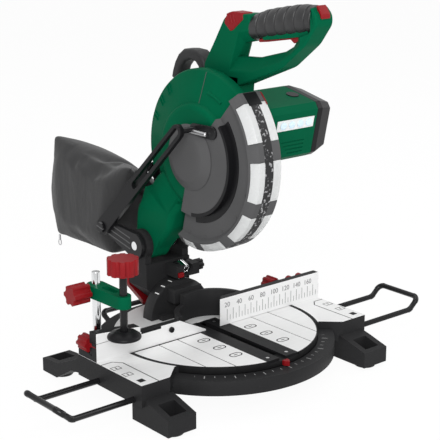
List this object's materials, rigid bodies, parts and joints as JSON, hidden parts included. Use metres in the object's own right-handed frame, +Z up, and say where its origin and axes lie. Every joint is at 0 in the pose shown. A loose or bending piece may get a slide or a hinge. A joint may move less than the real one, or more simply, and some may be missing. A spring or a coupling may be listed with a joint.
{
  "type": "mitre saw",
  "caption": "Compound mitre saw with a turntable base, two fences, a work clamp, a tilting column and a sprung chopping head with guards, motor, grip and dust bag.",
  "frame": {"origin": "on the bench under the turntable's pivot, at the middle of the four bench bolts", "axes": "+X to the operator's right along the fence, +Y to the back, +Z up"},
  "size_m": [0.5876, 0.493, 0.471],
  "materials": {
    "green_plastic": "gloss",
    "charcoal_casting": "satin paint",
    "black_plastic": "fine texture",
    "charcoal_plastic": "fine texture",
    "red_plastic": "gloss",
    "machined_aluminium": "fine machining lines",
    "insert_plastic": "matte",
    "steel": "brushed",
    "chrome": "polished",
    "black_steel": "black coat",
    "rubber": "matte",
    "clear_plastic": "clear",
    "white_plastic": "gloss",
    "copper_windings": "varnished",
    "black_fabric": "woven"
  },
  "bodies": {
    "base": {"base_casting": "charcoal_casting", "rubber_feet": "rubber", "fence_left": "machined_aluminium", "fence_right": "machined_aluminium", "fence_bolts": "steel", "mitre_pivot_bolt": "steel"},
    "sliding_fence": {"sliding_fence": "machined_aluminium"},
    "fence_knob_left": {"fence_knob_left": "red_plastic"},
    "fence_knob_right": {"fence_knob_right": "red_plastic"},
    "fence_wing_screw": {"fence_wing_screw": "red_plastic"},
    "support_bar_left": {"support_bar_left": "black_steel"},
    "support_bar_right": {"support_bar_right": "black_steel"},
    "rear_support_bar": {"rear_support_bar": "black_steel"},
    "clamp_post": {"clamp_post": "chrome"},
    "clamp_arm": {"clamp_arm": "green_plastic"},
    "clamp_arm_knob": {"clamp_arm_knob": "red_plastic"},
    "clamp_spindle": {"clamp_spindle": "black_steel", "clamp_spindle_knob": "red_plastic", "clamp_pad": "black_plastic"},
    "turntable": {"turntable_disc": "machined_aluminium", "kerf_inserts": "insert_plastic", "insert_screws": "steel", "mitre_pointer": "red_plastic", "bevel_bracket": "charcoal_casting", "bevel_pivot_bolt": "steel"},
    "bevel_lock_lever": {"bevel_lock_lever": "red_plastic"},
    "column": {"bevel_column": "charcoal_casting", "pivot_axle": "chrome", "return_spring": "chrome", "link_bracket": "black_steel", "laser_barrel": "chrome", "depth_stop_screw": "steel"},
    "guard_link": {"guard_link": "charcoal_plastic"},
    "laser_switch": {"laser_switch": "red_plastic"},
    "head_lock_pin": {"head_lock_pin": "black_plastic"},
    "head": {"upper_guard": "green_plastic", "gear_case": "green_plastic", "head_arm": "green_plastic", "spindle_bearings": "steel", "motor_housing": "green_plastic", "motor_end_cap": "black_plastic", "motor_stator": "copper_windings", "carbon_brushes": "black_plastic", "led_panel": "white_plastic", "handle_frame": "green_plastic", "handle_grip": "rubber", "carry_handle": "black_plastic", "dust_port": "black_plastic", "dust_bag": "black_fabric"},
    "blade": {"saw_blade": "steel", "blade_flanges": "steel", "arbor_shaft": "steel", "arbor_bolt": "steel"},
    "rotor": {"motor_rotor": "steel"},
    "lower_guard": {"lower_guard": "charcoal_plastic", "guard_windows": "clear_plastic", "guard_lever": "black_steel"},
    "trigger": {"trigger": "red_plastic"},
    "lock_off_button": {"lock_off_button": "red_plastic"},
    "front_button": {"front_button": "red_plastic"}
  },
  "joints": [
    {"name": "mitre", "type": "hinge", "parent": "base", "child": "turntable", "pos_m": [0, 0, 0.05], "axis": [0, 0, -1], "range_deg": [-45, 45]},
    {"name": "bevel", "type": "hinge", "parent": "turntable", "child": "column", "pos_m": [0, 0.09, 0.055], "axis": [0, -1, 0], "range_deg": [0, 35]},
    {"name": "chop", "type": "hinge", "parent": "column", "child": "head", "pos_m": [0, 0.106, 0.147], "axis": [-1, 0, 0], "range_deg": [-56, 0], "stiffness_Nm_per_rad": 7, "springref_deg": 114.59},
    {"name": "guard_swing", "type": "hinge", "parent": "head", "child": "lower_guard", "pos_m": [0, 0.02, 0.275], "axis": [-1, 0, 0], "range_deg": [0, 122]},
    {"name": "guard_link_swing", "type": "hinge", "parent": "column", "child": "guard_link", "pos_m": [0, 0.168, 0.16], "axis": [-1, 0, 0], "range_deg": [-41, 0]},
    {"name": "blade_spin", "type": "hinge", "parent": "head", "child": "blade", "pos_m": [0, 0.02, 0.275], "axis": [1, 0, 0], "continuous": true},
    {"name": "rotor_spin", "type": "hinge", "parent": "head", "child": "rotor", "pos_m": [0, -0.00864, 0.30572], "axis": [1, 0, 0], "continuous": true},
    {"name": "bevel_lever_turn", "type": "hinge", "parent": "turntable", "child": "bevel_lock_lever", "pos_m": [0, 0.137, 0.055], "axis": [0, 1, 0], "range_deg": [0, 40]},
    {"name": "fence_slide", "type": "slide", "parent": "base", "child": "sliding_fence", "axis": [-1, 0, 0], "range_m": [0, 0.04]},
    {"name": "fence_knob_left_turn", "type": "hinge", "parent": "base", "child": "fence_knob_left", "pos_m": [-0.177, 0.02, 0.073], "axis": [0, 1, 0], "range_deg": [0, 360]},
    {"name": "fence_knob_right_turn", "type": "hinge", "parent": "base", "child": "fence_knob_right", "pos_m": [0.116, 0.02, 0.082], "axis": [0, 1, 0], "range_deg": [0, 360]},
    {"name": "fence_wing_screw_turn", "type": "hinge", "parent": "base", "child": "fence_wing_screw", "pos_m": [0.16, 0.026, 0.07], "axis": [0, 0, 1], "range_deg": [0, 180]},
    {"name": "support_left_slide", "type": "slide", "parent": "base", "child": "support_bar_left", "axis": [-1, 0, 0], "range_m": [-0.06, 0.04]},
    {"name": "support_right_slide", "type": "slide", "parent": "base", "child": "support_bar_right", "axis": [1, 0, 0], "range_m": [-0.06, 0.03]},
    {"name": "rear_bar_slide", "type": "slide", "parent": "base", "child": "rear_support_bar", "axis": [0, 1, 0], "range_m": [-0.012, 0.025]},
    {"name": "clamp_swing", "type": "hinge", "parent": "base", "child": "clamp_post", "pos_m": [-0.16, 0.027, 0.06], "axis": [0, 0, 1], "range_deg": [-75, 20]},
    {"name": "clamp_arm_slide", "type": "slide", "parent": "clamp_post", "child": "clamp_arm", "axis": [0, 0, -1], "range_m": [-0.004, 0.03]},
    {"name": "clamp_arm_knob_turn", "type": "hinge", "parent": "clamp_arm", "child": "clamp_arm_knob", "pos_m": [-0.18, 0.027, 0.1345], "axis": [1, 0, 0], "range_deg": [0, 360]},
    {"name": "clamp_spindle_feed", "type": "slide", "parent": "clamp_arm", "child": "clamp_spindle", "axis": [0, 0, 1], "range_m": [-0.025, 0.01]},
    {"name": "laser_switch_press", "type": "slide", "parent": "column", "child": "laser_switch", "axis": [0, 1, 0], "range_m": [0, 0.002], "stiffness_N_per_m": 600, "springref_m": -0.001},
    {"name": "head_lock_pull", "type": "slide", "parent": "column", "child": "head_lock_pin", "axis": [1, 0, 0], "range_m": [0, 0.006], "stiffness_N_per_m": 500, "springref_m": -0.002},
    {"name": "trigger_squeeze", "type": "hinge", "parent": "head", "child": "trigger", "pos_m": [0.034, -0.098, 0.4312], "axis": [1, 0, 0], "range_deg": [0, 6], "stiffness_Nm_per_rad": 1.2, "springref_deg": -5.73},
    {"name": "lock_off_press", "type": "slide", "parent": "head", "child": "lock_off_button", "axis": [0, 0, -1], "range_m": [0, 0.003], "stiffness_N_per_m": 500, "springref_m": -0.002},
    {"name": "front_button_press", "type": "slide", "parent": "head", "child": "front_button", "axis": [0, 0.6639, -0.7479], "range_m": [0, 0.003], "stiffness_N_per_m": 500, "springref_m": -0.002}
  ],
  "couplings": [
    {"joint": "guard_swing", "follows": "chop", "ratio": -2.15},
    {"joint": "guard_link_swing", "follows": "chop", "ratio": 0.709},
    {"joint": "rotor_spin", "follows": "blade_spin", "ratio": -4}
  ]
}
